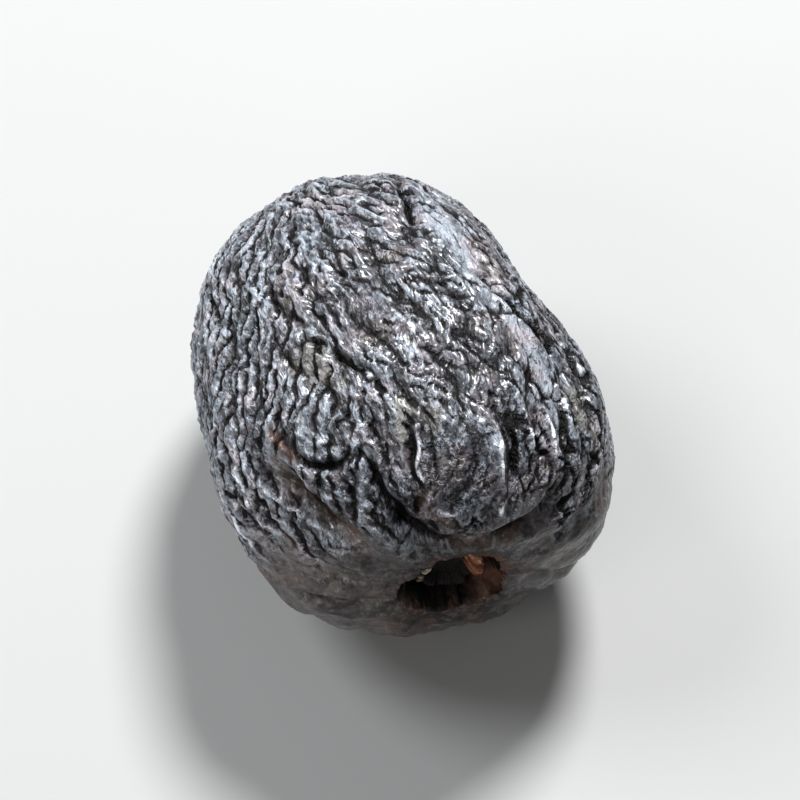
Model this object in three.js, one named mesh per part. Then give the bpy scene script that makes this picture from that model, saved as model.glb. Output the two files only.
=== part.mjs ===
// A dried date plum lying on its side: one wrinkled fruit with a stalk pit in its broad end and a hard
// little style tip at the other, and the torn remains of the stalk in the pit.
// Millimetres, +Z up. The fruit's long axis runs along Y with the stalk end towards -Y, and the origin
// is the middle of the flat spot that the fruit rests on.

import * as THREE from "three";

// Driving dimensions of the fruit
const LENGTH = 30.6;
const WIDTH = 24.3;
const HEIGHT = 23.1;
const BLUNTNESS = 2.28; // exponent of the stalk half's outline: 2 is an ellipse, more is boxier
const TIP_BLUNTNESS = 2.05; // and of the tip half's
const TAPER = 0.073; // the stalk end is this share wider than the middle, and the tip end narrower
const LEAN = 1.24; // how far the tip leans over towards -X
const FLAT_DEPTH = 0.55; // how much the underside is pressed flat where it rests

// Stalk pit, from its wide soft dimple to its floor. Its torn edge has waves [count, size, turn]
const DIMPLE_RADIUS = 6.0;
const DIMPLE_DEPTH = 1.5;
const PIT_MOUTH = 3.1;
const PIT_THROAT = 2.5;
const PIT_DEPTH = 2.6;
const PIT_RAGGEDNESS = [[3, 0.07, 1.0], [5, 0.05, 2.0], [8, 0.03, 0.5]];

// Style tip, a small point in a shallow dimple
const TIP_RADIUS = 1.2;
const TIP_HEIGHT = 1.0;
const TIP_DIMPLE_RADIUS = 2.6;
const TIP_DIMPLE_DEPTH = 0.9;

// Swellings and dents. Each is at a polar angle from the stalk and a turn from +X over the top, in
// degrees, and reaches so far lengthways and crossways
const SWELLINGS = [
  { at: [103, 20], lengthways: 6.5, crossways: 6.0, height: -1.95 },
  { at: [150, 108], lengthways: 4.0, crossways: 4.5, height: -0.65 },
  { at: [138, 45], lengthways: 4.5, crossways: 4.5, height: -0.4 },
  { at: [136, 150], lengthways: 3.5, crossways: 3.5, height: -0.3 },
  { at: [46, 78], lengthways: 3.6, crossways: 4.4, height: 0.85 },
  { at: [45, 12], lengthways: 5.0, crossways: 5.0, height: 0.45 },
  { at: [44, 335], lengthways: 3.5, crossways: 4.0, height: 0.45 },
  { at: [50, 148], lengthways: 4.0, crossways: 3.5, height: -0.35 },
  { at: [66, 166], lengthways: 4.5, crossways: 4.0, height: 0.45 },
  { at: [124, 170], lengthways: 4.0, crossways: 4.0, height: 0.25 },
  { at: [45, 207], lengthways: 3.5, crossways: 3.5, height: 0.3 },
  { at: [70, 52], lengthways: 2.6, crossways: 1.8, height: -0.25 },
  { at: [22, 345], lengthways: 3.0, crossways: 3.5, height: -0.6 },
  { at: [95, 215], lengthways: 6.0, crossways: 3.0, height: -0.4 },
  { at: [80, 300], lengthways: 6.0, crossways: 4.0, height: -0.4 },
];

// Creases, each on a curve from one place by way of another to a third, in degrees as above. A negative
// depth is a ridge, and the lip is how far the skin stands up beside the groove
const CREASES = [
  { path: [[47, 116], [20, 116], [20, 78]], width: 0.65, depth: 0.6, lip: 0.15 },
  { path: [[20, 78], [20, 48], [40, 40]], width: 0.65, depth: 0.6, lip: 0.15 },
  { path: [[66, 144], [50, 144], [33, 135]], width: 0.8, depth: 0.9, lip: 0.2 },
  { path: [[68, 154], [52, 149], [34, 140]], width: 0.6, depth: -0.25, lip: 0 },
  { path: [[83, 38], [72, 32], [58, 30]], width: 0.65, depth: 0.5, lip: 0.15 },
  { path: [[20, 48], [32, 36], [48, 28]], width: 0.7, depth: 0.35, lip: 0.1 },
  { path: [[17, 18], [32, 16], [52, 9]], width: 0.8, depth: 0.35, lip: 0.1 },
  { path: [[18, 180], [35, 190], [60, 188]], width: 0.7, depth: 0.45, lip: 0.15 },
  { path: [[18, 340], [40, 330], [70, 335]], width: 0.7, depth: 0.45, lip: 0.15 },
];
const CREASE_STEPS = 8;

// Layers of ridges: broad folds, long gathers that run into the pit, and the ridges of the skin. Each has
// its share of its height on the wrinkled skin, on the smooth cap and at the ends
const FOLDS = {
  pitch: 6.5, height: 0.5, reach: 4.2, run: 6.5, stray: 0.35, kernels: 170, stream: 11,
  onSkin: 1, onCap: 0.5, atEnds: 0.25,
};
const GATHERS = {
  pitch: 3.0, height: 0.35, reach: 2.0, run: 7.0, stray: 0.15, kernels: 500, stream: 71,
  onSkin: 0.15, onCap: 1, atEnds: 0.25,
};
const RIDGES = {
  pitch: 2.4, height: 0.42, reach: 1.6, run: 3.0, stray: 0.45, kernels: 900, stream: 23,
  onSkin: 1, onCap: 0.12, atEnds: 0.35,
};
const RIDGE_BEND = 0.5; // how far ridges swing from lengthways, in radians
const BEND_SIZE = 17; // over about this distance
const FORK_SOFTNESS = 0.12; // how gently the skin goes over where ridges fork or end
const MIDDLE_CROWN = 0.62; // a layer's mean, so that it adds as much as it takes away

// Where the relief fades: by distance from the axis at the two ends, and by height over the floor
const PIT_FADE = [2.2, 6];
const TIP_FADE = [0.5, 4];
const FLOOR_FADE = [0.2, 3];
const FLOOR_SHARE = 0.3;
const POLE_FADE = 40; // times the sine of the polar angle

// The smooth cap of skin round the stalk end: its middle, its breadth against its height, and its edge
const CAP_MIDDLE = new THREE.Vector3(-1, -15, 6);
const CAP_BREADTH = 1.35;
const CAP_INNER = 11.3;
const CAP_OUTER = 14.3;
const CAP_RAGGEDNESS = 0.8;
const CAP_LUMPS = 7;
const CAP_STREAM = 83;

// Torn remains of the stalk: a cup with lobes [turn in degrees, half width, height] round its mouth
const STUB_RADIUS = 1.8;
const STUB_HEIGHT = 1.5;
const STUB_RAGGEDNESS = [[3, 0.05, 0], [8, 0.04, 0]];
const STUB_LOBES = [
  [8, 30, 1.3],
  [100, 22, 0.2],
  [140, 13, 1.1],
  [176, 13, 0.85],
  [212, 14, 0.5],
  [290, 30, 0.3],
];
const STUB_GAP = 0.3; // clear of the pit's floor
const STUB_POINTS = 44;
// The cup's outline from its root, over its lip and down inside: shares of its radius and its height, and
// of the lobes' height
const STUB_OUTLINE = [
  [0.75, 0, 0],
  [1.0, 0.2, 0],
  [1.0, 0.65, 0.25],
  [1.12, 0.92, 0.85],
  [1.0, 1.0, 1.0],
  [0.82, 0.85, 0.85],
  [0.62, 0.5, 0.1],
  [0.35, 0.35, 0],
];

// Fineness of the faceted skin
const RING_STEP = 0.68;
const POINT_STEP = 0.62;
const PIT_STEP = 0.42;
const PIT_TURN = 0.33; // polar angle within which the rings lie closer

const CENTRE = new THREE.Vector3(0, 0, HEIGHT / 2 - FLAT_DEPTH);

const smooth = THREE.MathUtils.smoothstep;
const lerp = THREE.MathUtils.lerp;
const radians = THREE.MathUtils.degToRad;

// A repeatable draw between 0 and 1 for item i of a stream.
function draw(i, stream) {
  const x = Math.sin(i * 12.9898 + stream * 78.233) * 43758.5453;
  return x - Math.floor(x);
}

// A soft uneven field between about -1 and 1, with lumps about that size across.
function unevenness(p, size, stream) {
  let sum = 0;
  for (let i = 0; i < 6; i++) {
    const turn = 2 * Math.PI * draw(i, stream);
    const lean = 2 * draw(i, stream + 1) - 1;
    const flat = Math.sqrt(1 - lean * lean);
    const along = p.x * flat * Math.cos(turn) + p.y * flat * Math.sin(turn) + p.z * lean;
    sum += Math.sin((2 * Math.PI * along) / size + 2 * Math.PI * draw(i, stream + 2));
  }
  return sum / 3;
}

// How far a torn edge stands out or in at a turn round it, as a share that is 1 on average.
function ragged(waves, around) {
  return waves.reduce((sum, [count, size, turn]) => sum + size * Math.sin(count * around + turn), 1);
}

// How deep the stalk end goes in at a radius from the axis and a turn round it.
function pitDepth(radius, around) {
  const dimple = DIMPLE_DEPTH * Math.exp(-2 * (radius / DIMPLE_RADIUS) ** 2);
  const torn = radius * ragged(PIT_RAGGEDNESS, around);
  return dimple + PIT_DEPTH * (1 - smooth(torn, PIT_THROAT, PIT_MOUTH));
}

// How far the tip end stands out at a radius from the axis.
function tipRise(radius) {
  const dimple = TIP_DIMPLE_DEPTH * Math.exp(-2 * (radius / TIP_DIMPLE_RADIUS) ** 2);
  return TIP_HEIGHT * (1 - smooth(radius, 0, TIP_RADIUS)) - dimple;
}

// The body without its relief. polar runs from 0 at the stalk to PI at the tip, and around is the turn
// about the long axis, from +X over the top.
function bodyPoint(polar, around) {
  const cosine = Math.cos(polar);
  const power = 2 / (cosine > 0 ? BLUNTNESS : TIP_BLUNTNESS);
  const along = -Math.sign(cosine) * Math.abs(cosine) ** power;
  const out = Math.abs(Math.sin(polar)) ** power * (1 - TAPER * along);
  const radius = (out * (WIDTH + HEIGHT)) / 4;
  const rise = along < 0 ? pitDepth(radius, around) : tipRise(radius);
  return new THREE.Vector3(
    (out * WIDTH * Math.cos(around)) / 2 - LEAN * Math.max(along, 0),
    (along * LENGTH) / 2 + rise,
    (out * HEIGHT * Math.sin(around)) / 2,
  ).add(CENTRE);
}

// The directions along and across the body and straight out of it, at a place on it.
function bodyFrame(polar, around) {
  const slip = 1e-3;
  const low = Math.max(polar - slip, slip / 2);
  const high = Math.min(polar + slip, Math.PI - slip / 2);
  const along = bodyPoint(high, around).sub(bodyPoint(low, around)).normalize();
  const middle = Math.min(Math.max(polar, slip), Math.PI - slip);
  const across = bodyPoint(middle, around + slip).sub(bodyPoint(middle, around - slip)).normalize();
  const normal = new THREE.Vector3().crossVectors(along, across).normalize();
  return { along, across, normal };
}

// Wave centres spread evenly over the body. Each one has a short wave that runs mostly across the
// fruit, so that together they make ridges that run lengthways, wander, fork and end.
function waveCentres({ stray, kernels, stream }) {
  const golden = Math.PI * (3 - Math.sqrt(5));
  return Array.from({ length: kernels }, (_, i) => {
    const polar = Math.acos(1 - (2 * (i + 0.5)) / kernels);
    const place = bodyPoint(polar, golden * i);
    const { along, across, normal } = bodyFrame(polar, golden * i);
    const swing = RIDGE_BEND * unevenness(place, BEND_SIZE, stream + 3);
    const bend = swing + stray * (2 * draw(i, stream) - 1);
    const wave = across.clone().multiplyScalar(Math.cos(bend)).addScaledVector(along, Math.sin(bend));
    const crest = new THREE.Vector3().crossVectors(normal, wave);
    return { place, wave, crest, shift: 2 * Math.PI * draw(i, stream + 1) };
  });
}

// The ridged field at a point: 1 on a ridge's crown, falling to 0 in the sharp valley beside it.
function crown(point, centres, { pitch, reach, run }) {
  let real = 0;
  let imaginary = 0;
  let total = 0;
  const gap = new THREE.Vector3();
  for (const { place, wave, crest, shift } of centres) {
    gap.subVectors(point, place);
    const b = gap.dot(crest);
    const weight = Math.exp(-0.5 * ((gap.lengthSq() - b * b) / reach ** 2 + b * b / run ** 2));
    const phase = (2 * Math.PI * gap.dot(wave)) / pitch + shift;
    real += weight * Math.cos(phase);
    imaginary += weight * Math.sin(phase);
    total += weight;
  }
  return Math.sqrt(0.5 + (0.5 * real) / Math.hypot(real, imaginary, FORK_SOFTNESS * total));
}

// How far a layer moves the skin at a point, by its share of the cap and how clear of the ends it is.
function relief(point, { centres, layer }, cap, clear) {
  const here = lerp(layer.onSkin, layer.onCap, cap) * lerp(layer.atEnds, 1, clear);
  return layer.height * (crown(point, centres, layer) - MIDDLE_CROWN) * here;
}

// How far the swellings and dents move the skin at a point.
function swellingRise(point, swellings) {
  return swellings.reduce((sum, { place, along, across, normal, lengthways, crossways, height }) => {
    const gap = point.clone().sub(place);
    const a = gap.dot(along) / lengthways;
    const b = gap.dot(across) / crossways;
    const c = (2 * gap.dot(normal)) / WIDTH;
    return sum + height * Math.exp(-a * a - b * b - c * c);
  }, 0);
}

// Points on the body along a crease, on a curve pulled towards its middle place.
function creasePath(path) {
  const corners = path.map(([polar, around]) => new THREE.Vector2(radians(polar), radians(around)));
  const curve = new THREE.QuadraticBezierCurve(...corners);
  return curve.getPoints(CREASE_STEPS).map(({ x, y }) => bodyPoint(x, y));
}

// A point's distance from a path on the body, and how far along the path it is, from 0 to 1.
function pathDistance(point, path) {
  let nearest = Infinity;
  let where = 0;
  const closest = new THREE.Vector3();
  for (let k = 0; k < CREASE_STEPS; k++) {
    const step = new THREE.Line3(path[k], path[k + 1]);
    const t = step.closestPointToPointParameter(point, true);
    const distance = step.at(t, closest).distanceTo(point);
    if (distance < nearest) {
      nearest = distance;
      where = (k + t) / CREASE_STEPS;
    }
  }
  return { nearest, where };
}

// How far the creases take the skin in at a point. A crease fades out towards both its ends.
function creaseRise(point, creases) {
  return creases.reduce((sum, { path, width, depth, lip }) => {
    const { nearest, where } = pathDistance(point, path);
    const fade = Math.sqrt(Math.sin(Math.PI * THREE.MathUtils.clamp(where, 0.02, 0.98)));
    const groove = Math.exp(-((nearest / width) ** 2));
    const beside = Math.exp(-(((nearest - 2 * width) / width) ** 2));
    return sum + fade * (lip * beside - depth * groove);
  }, 0);
}

// 1 in the smooth cap at the stalk end, 0 on the wrinkled skin.
function capShare(point) {
  const gap = point.clone().sub(CAP_MIDDLE);
  gap.x /= CAP_BREADTH;
  const distance = gap.length() + CAP_RAGGEDNESS * unevenness(point, CAP_LUMPS, CAP_STREAM);
  return 1 - smooth(distance, CAP_INNER, CAP_OUTER);
}

const layers = [FOLDS, GATHERS, RIDGES].map((layer) => ({ layer, centres: waveCentres(layer) }));
const swellings = SWELLINGS.map(({ at, ...sizes }) => {
  const [polar, around] = at.map(radians);
  return { place: bodyPoint(polar, around), ...bodyFrame(polar, around), ...sizes };
});
const creases = CREASES.map((crease) => ({ ...crease, path: creasePath(crease.path) }));

// A point of the finished skin. The relief fades out at the poles, in the pit and where the fruit rests.
function skinPoint(polar, around) {
  const point = bodyPoint(polar, around);
  const { normal } = bodyFrame(polar, around);
  const radius = Math.hypot(point.x, point.z - CENTRE.z);
  const clear = smooth(radius, ...(point.y < 0 ? PIT_FADE : TIP_FADE));
  const aboveRest = lerp(FLOOR_SHARE, 1, smooth(point.z, ...FLOOR_FADE));
  const awayFromPole = Math.min(1, POLE_FADE * Math.sin(polar));
  const cap = capShare(point);
  const ridged = layers.reduce((sum, layer) => sum + relief(point, layer, cap, clear), 0);
  const shape = swellingRise(point, swellings) + creaseRise(point, creases) * clear;
  point.addScaledVector(normal, (ridged * aboveRest + shape) * awayFromPole);
  point.z = Math.max(point.z, 0);
  return point;
}

// Polar turns of the rings, evenly spaced along the outline, closer in the stalk pit.
function ringTurns() {
  const turns = [0];
  const fine = 4000;
  let last = bodyPoint(0, 0);
  let walked = 0;
  for (let i = 1; i < fine; i++) {
    const polar = (Math.PI * i) / fine;
    const here = bodyPoint(polar, 0);
    walked += here.distanceTo(last);
    last = here;
    if (walked >= (polar < PIT_TURN ? PIT_STEP : RING_STEP)) {
      turns.push(polar);
      walked = 0;
    }
  }
  turns.push(Math.PI);
  return turns;
}

// A closed mesh through rings of points. A ring of one point closes an end.
function skinOver(rings) {
  const vertices = [];
  const faces = [];
  const starts = rings.map((ring) => {
    const start = vertices.length / 3;
    ring.forEach((p) => vertices.push(p.x, p.y, p.z));
    return start;
  });
  for (let k = 0; k + 1 < rings.length; k++) {
    const lower = rings[k].length;
    const upper = rings[k + 1].length;
    const lowerSteps = lower > 1 ? lower : 0;
    const upperSteps = upper > 1 ? upper : 0;
    let i = 0;
    let j = 0;
    while (i < lowerSteps || j < upperSteps) {
      const a = starts[k] + (i % lower);
      const b = starts[k + 1] + (j % upper);
      if (j >= upperSteps || (i < lowerSteps && (i + 1) / lower <= (j + 1) / upper)) {
        faces.push(a, b, starts[k] + ((i + 1) % lower));
        i++;
      } else {
        faces.push(a, b, starts[k + 1] + ((j + 1) % upper));
        j++;
      }
    }
  }
  const geometry = new THREE.BufferGeometry();
  geometry.setAttribute("position", new THREE.Float32BufferAttribute(vertices, 3));
  geometry.setIndex(faces);
  geometry.computeVertexNormals();
  return geometry;
}

function fruitGeometry() {
  const rings = ringTurns().map((polar, k, turns) => {
    if (k === 0 || k === turns.length - 1) return [bodyPoint(polar, 0)];
    const across = bodyPoint(polar, 0).distanceTo(bodyPoint(polar, Math.PI));
    const count = Math.max(8, Math.round((Math.PI * across) / POINT_STEP));
    return Array.from({ length: count }, (_, i) => skinPoint(polar, (2 * Math.PI * i) / count));
  });
  return skinOver(rings);
}

// How high the torn lobes stand at a turn round the cup.
function lobeHeight(degrees) {
  return STUB_LOBES.reduce((sum, [turn, halfWidth, height]) => {
    const away = THREE.MathUtils.euclideanModulo(degrees - turn + 180, 360) - 180;
    return sum + height * Math.exp(-((away / halfWidth) ** 2));
  }, 0);
}

function stubGeometry() {
  const floor = bodyPoint(0, 0).y - STUB_GAP;
  const ring = ([wide, high, torn]) =>
    Array.from({ length: STUB_POINTS }, (_, i) => {
      const around = (2 * Math.PI * i) / STUB_POINTS;
      const height = high * STUB_HEIGHT + torn * lobeHeight((360 * i) / STUB_POINTS);
      const radius = STUB_RADIUS * wide * ragged(STUB_RAGGEDNESS, around);
      return new THREE.Vector3(
        CENTRE.x + radius * Math.cos(around),
        floor - height,
        CENTRE.z + radius * Math.sin(around),
      );
    });
  const hollow = STUB_OUTLINE[STUB_OUTLINE.length - 1][1] * STUB_HEIGHT;
  return skinOver([
    [new THREE.Vector3(CENTRE.x, floor - hollow, CENTRE.z)],
    ...STUB_OUTLINE.toReversed().map(ring),
    [new THREE.Vector3(CENTRE.x, floor, CENTRE.z)],
  ]);
}

const skin = new THREE.MeshStandardMaterial({ color: 0x35322f, roughness: 0.5, metalness: 0 });
const wood = new THREE.MeshStandardMaterial({ color: 0x9a6235, roughness: 0.85, metalness: 0 });

const fruit = new THREE.Mesh(fruitGeometry(), skin);
fruit.name = "fruit";

const stub = new THREE.Mesh(stubGeometry(), wood);
stub.name = "stalk_stub";

const datePlum = new THREE.Group();
datePlum.add(fruit, stub);

export default datePlum;
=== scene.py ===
import math
from types import SimpleNamespace

import bpy
import numpy as np
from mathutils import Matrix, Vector


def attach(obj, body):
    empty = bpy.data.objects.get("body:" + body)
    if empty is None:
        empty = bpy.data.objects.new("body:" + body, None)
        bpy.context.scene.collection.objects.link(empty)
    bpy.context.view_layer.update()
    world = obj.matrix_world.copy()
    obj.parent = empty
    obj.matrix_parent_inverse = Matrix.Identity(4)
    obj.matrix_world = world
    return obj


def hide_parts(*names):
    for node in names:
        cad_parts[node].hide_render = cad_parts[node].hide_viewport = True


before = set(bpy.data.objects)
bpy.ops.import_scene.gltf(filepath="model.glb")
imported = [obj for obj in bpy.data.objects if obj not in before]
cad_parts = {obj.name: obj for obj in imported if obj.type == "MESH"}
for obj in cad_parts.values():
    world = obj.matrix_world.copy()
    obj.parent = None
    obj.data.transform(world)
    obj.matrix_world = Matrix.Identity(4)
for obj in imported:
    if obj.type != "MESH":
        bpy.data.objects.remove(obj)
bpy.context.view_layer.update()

# The skin is worked out in millimetres, and a mesh is scaled to metres when it is made
MM = 0.001

# Driving dimensions of the fruit: long axis along Y, stalk end towards -Y
LENGTH = 30.6
WIDTH = 24.3
HEIGHT = 23.1
BLUNTNESS, TIP_BLUNTNESS = 2.28, 2.05
TAPER = 0.073
LEAN = 1.24
FLAT_DEPTH = 0.55
CENTRE = np.array([0, 0, HEIGHT / 2 - FLAT_DEPTH])

# Stalk pit and style tip
DIMPLE_RADIUS, DIMPLE_DEPTH = 6.0, 1.5
PIT_MOUTH, PIT_THROAT, PIT_DEPTH = 3.1, 2.5, 2.6
PIT_RAGGEDNESS = ((3, 0.07, 1.0), (5, 0.05, 2.0), (8, 0.03, 0.5), (13, 0.04, 0.3), (22, 0.03, 1.1))
TIP_RADIUS, TIP_HEIGHT = 1.2, 1.0
TIP_DIMPLE_RADIUS, TIP_DIMPLE_DEPTH = 2.6, 0.9

# Swellings and dents, at polar and turn angles in degrees, with how far they reach lengthways and round
SWELLINGS = (
    dict(at=(103, 20), lengthways=6.5, crossways=6.0, height=-1.95),
    dict(at=(150, 108), lengthways=4.0, crossways=4.5, height=-0.65),
    dict(at=(138, 45), lengthways=4.5, crossways=4.5, height=-0.4),
    dict(at=(136, 150), lengthways=3.5, crossways=3.5, height=-0.3),
    dict(at=(46, 78), lengthways=3.6, crossways=4.4, height=0.85),
    dict(at=(45, 12), lengthways=5.0, crossways=5.0, height=0.45),
    dict(at=(44, 335), lengthways=3.5, crossways=4.0, height=0.45),
    dict(at=(50, 148), lengthways=4.0, crossways=3.5, height=-0.35),
    dict(at=(66, 166), lengthways=4.5, crossways=4.0, height=0.45),
    dict(at=(124, 170), lengthways=4.0, crossways=4.0, height=0.25),
    dict(at=(45, 207), lengthways=3.5, crossways=3.5, height=0.3),
    dict(at=(70, 52), lengthways=2.6, crossways=1.8, height=-0.25),
    dict(at=(22, 345), lengthways=3.0, crossways=3.5, height=-0.6),
    dict(at=(95, 215), lengthways=6.0, crossways=3.0, height=-0.4),
    dict(at=(80, 300), lengthways=6.0, crossways=4.0, height=-0.4),
)

# Creases, each from, by way of and to a place at polar and turn angles in degrees. A negative depth is
# a ridge, painted pale as a highlight, the lip is how far the skin stands up beside the groove, and the
# last number is how black the shade painted into the groove is
CREASES = (
    dict(path=((47, 116), (20, 116), (20, 78)), width=0.55, depth=0.75, lip=0.15, painted_shade=0.7),
    dict(path=((20, 78), (20, 48), (40, 40)), width=0.55, depth=0.75, lip=0.15, painted_shade=0.7),
    dict(path=((64, 135), (51, 133), (55, 114)), width=0.26, depth=0.70, lip=0.15, painted_shade=1.0),
    dict(path=((66, 144), (50, 144), (33, 135)), width=0.80, depth=0.90, lip=0.20, painted_shade=0.6),
    dict(path=((67, 140), (52, 140), (38, 134)), width=0.20, depth=0.30, lip=0.0, painted_shade=1.0),
    dict(path=((68, 155), (52, 150), (34, 141)), width=0.18, depth=-0.30, lip=0.0, painted_shade=0.0),
    dict(path=((64, 136), (51, 138), (39, 134)), width=0.15, depth=-0.20, lip=0.0, painted_shade=0.0),
    # A short ridge painted white as a glint
    dict(path=((62, 126), (61, 125), (60, 123)), width=0.24, depth=-0.25, lip=0.0, painted_shade=0.0),
    dict(path=((55, 113), (41, 115), (25, 109)), width=0.4, depth=0.5, lip=0.1, painted_shade=0.8),
    dict(path=((95, 68), (84, 56), (73, 42)), width=0.3, depth=0.6, lip=0.15, painted_shade=1.0),
    dict(path=((83, 38), (72, 32), (58, 30)), width=0.45, depth=0.6, lip=0.15, painted_shade=0.8),
    dict(path=((74, 46), (65, 41), (55, 39)), width=0.2, depth=0.4, lip=0.15, painted_shade=1.0),
    dict(path=((71, 38), (63, 35), (53, 33)), width=0.2, depth=0.4, lip=0.15, painted_shade=1.0),
    dict(path=((132, 71), (118, 72), (108, 77)), width=0.3, depth=0.7, lip=0.15, painted_shade=1.0),
    dict(path=((90, 122), (79, 113), (69, 100)), width=0.22, depth=0.4, lip=0.1, painted_shade=0.8),
    dict(path=((20, 48), (32, 36), (48, 28)), width=0.7, depth=0.35, lip=0.1, painted_shade=0.3),
    dict(path=((17, 18), (32, 16), (52, 9)), width=0.8, depth=0.35, lip=0.1, painted_shade=0.3),
    dict(path=((61, 68), (47, 65), (37, 62)), width=0.30, depth=0.5, lip=0.0, painted_shade=1.0),
    dict(path=((58, 74), (46, 72), (34, 68)), width=0.25, depth=-0.65, lip=0.0, painted_shade=0.0),
    dict(path=((36, 68), (31, 70), (27, 65)), width=0.24, depth=-0.40, lip=0.0, painted_shade=0.0),
    dict(path=((60, 62), (52, 60), (45, 57)), width=0.24, depth=-0.50, lip=0.0, painted_shade=0.0),
    dict(path=((61, 54), (52, 50), (43, 48)), width=0.24, depth=-0.45, lip=0.0, painted_shade=0.0),
    dict(path=((61, 97), (47, 99), (34, 101)), width=0.35, depth=0.4, lip=0.1, painted_shade=0.8),
    dict(path=((58, 96), (44, 99), (32, 99)), width=0.22, depth=-0.45, lip=0.0, painted_shade=0.0),
    dict(path=((33, 99), (31, 92), (31, 84)), width=0.22, depth=-0.40, lip=0.0, painted_shade=0.0),
    dict(path=((79, 168), (63, 171), (48, 178)), width=0.22, depth=-0.30, lip=0.0, painted_shade=0.0),
    dict(path=((74, 163), (60, 164), (47, 170)), width=0.3, depth=0.35, lip=0.1, painted_shade=0.7),
    dict(path=((76, 158), (62, 159), (50, 164)), width=0.20, depth=-0.30, lip=0.0, painted_shade=0.0),
    dict(path=((18, 180), (35, 190), (60, 188)), width=0.45, depth=0.35, lip=0.15, painted_shade=0.5),
    dict(path=((18, 340), (40, 330), (70, 335)), width=0.45, depth=0.35, lip=0.15, painted_shade=0.5),
)
CREASE_STEPS = 8

# A smooth band of bloomed skin with painted sheen down the right of the upper side, and patches of other
# colours; the pale patches are bloom with painted sheen
SMOOTH_BAND = dict(path=((112, 70), (88, 64), (66, 48)), width=1.15)
PALE_SHEEN_PATCHES = (
    dict(at=(125, 98), reach=2.2),
    dict(at=(110, 66), reach=1.8),
    dict(at=(104, 154), reach=2.6),
    dict(at=(72, 163), reach=1.9),
    dict(at=(61, 157), reach=1.5),
    dict(at=(49, 119), reach=1.3),
    dict(at=(56, 70), reach=1.6),
)
TAN_PATCHES = (
    dict(at=(79, 119), reach=1.9),
    dict(at=(60, 97), reach=1.5),
    dict(at=(63, 37), reach=1.3),
    dict(at=(120, 200), reach=2.2),
    dict(at=(75, 260), reach=2.0),
)
RUST_PATCHES = (
    dict(at=(33, 100), reach=1.3),
    dict(at=(22, 75), reach=1.5),
    dict(at=(25, 230), reach=2.4),
)

# Where the finest creases are shallow, and where the bloom is thinner and the skin darker
CALM_PATCHES = (
    dict(at=(88, 96), reach=3.2),
    dict(at=(63, 128), reach=2.2),
    dict(at=(100, 240), reach=4.0),
)
DARKER_PATCHES = (
    dict(at=(47, 82), reach=3.0),
    dict(at=(46, 62), reach=2.4),
    dict(at=(46, 141), reach=2.2),
    dict(at=(90, 262), reach=3.5),
)

# The lip below the slit, where the flesh shows brown
RUST_LIP = dict(path=((70, 139), (67, 139), (62, 136)), width=0.30)

# The brown valley beside the slit, as smooth as the cap
SMOOTH_VALLEY = dict(path=((64, 144), (50, 144), (33, 135)), width=0.8)

# The knee: where the finer ridges turn to run across, and how far
KNEE = dict(at=(43, 84), reach=2.9, turn=1.35)

# The smooth cap of skin round the stalk end: its middle, its breadth against its height, and the
# distances from the middle over which it fades, for the coarse layers of ridges and for the fine ones
CAP_MIDDLE = np.array([0.0, -15.0, 5.4])
CAP_BREADTH = 1.35
CAP_EDGE = (11.3, 14.3)
FINE_CAP_EDGE = (9.2, 12.8)

# How far the cap's edge wanders, how ragged it is for the fine layers, and how lumpy the cap's skin is
CAP_WANDER, FINE_CAP_RAGGEDNESS, CAP_LUMPINESS = 0.8, 0.9, 0.02

# How fast the relief sets in away from the two ends of the mesh, where its rings close
POLE_CLOSING = 40

# How far the finer ridges slant to the left towards the tip, and between which places that sets in
SLANT = 0.45
SLANT_EDGE = (-8.0, 0.0)

# The flat side, right of the middle of the upper side, where wrinkles are low and have flat tops: the
# place that it begins at, how softly and how raggedly, and the heights between which it sets in
FLAT_SIDE_START, FLAT_SIDE_SOFTNESS, FLAT_SIDE_RAGGEDNESS = 3.0, 0.12, 0.6
FLAT_SIDE_EDGE = (-0.5, 0.6)
FLAT_SIDE_HEIGHTS = (9.0, 15.0)

# The bold side, where wrinkles are deeper: how far to the left and how far along it sets in and ends
BOLD_LEFT = (0.0, 6.0)
BOLD_ALONG = (3.0, 8.0)
BOLD_END = (10.0, 13.0)

# How much of their depth wrinkles keep where they are faintest, at the far left and tip, and on the knee
FAINTEST_WRINKLES, OUTER_WRINKLES, KNEE_WRINKLES = 0.25, 0.8, 0.5
OUTER_LEFT = (5.0, 9.0)
OUTER_ALONG = (7.0, 11.0)

# Distances from the fruit's axis over which the relief sets in, beside the pit and beside the style tip
CLEAR_OF_PIT = (2.2, 6.0)
CLEAR_OF_TIP = (0.5, 4.0)

# Heights over which the relief grows above the flat spot, and its share there
ABOVE_REST = (0.2, 3.0)
REST_RELIEF = 0.3

# Distances from the axis over which the shade painted black into the pit and onto its rim, and the brown
# collar round it, fade
PIT_SHADE = (2.4, 3.4)
RIM_SHADE = (3.0, 6.5)
COLLAR_INNER, COLLAR_OUTER = (1.8, 2.6), (3.0, 4.0)

# What is left of the fine creases on the smooth band, on a named ridge and in a calm patch
BAND_CREASES, RIDGE_CREASES, CALM_CREASES = 0.2, 0.2, 0.35

# What is left of the plates on the smooth band, and of the slots on the flat side
BAND_PLATES, FLAT_SLOTS = 0.45, 0.6

# Uneven shares of the skin: how big their lumps are, their stream of draws, and the stretch of the uneven
# field over which they rise from 0 to 1
PATCHY = dict(
    wrinkles=(2.6, 89, -0.6, 0.6),
    slit_shade=(1.3, 193, 0.1, 0.6),
    slots=(1.5, 283, 0.1, 0.6),
    plates=(1.7, 257, -0.5, 0.2),
    edges=(2.1, 277, -0.6, 0.5),
    streaks=(3, 223, -0.3, 0.5),
    rim_rust=(5, 107, 0.1, 0.9),
    rust_spots=(3, 109, 0.4, 1.0),
)

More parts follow.
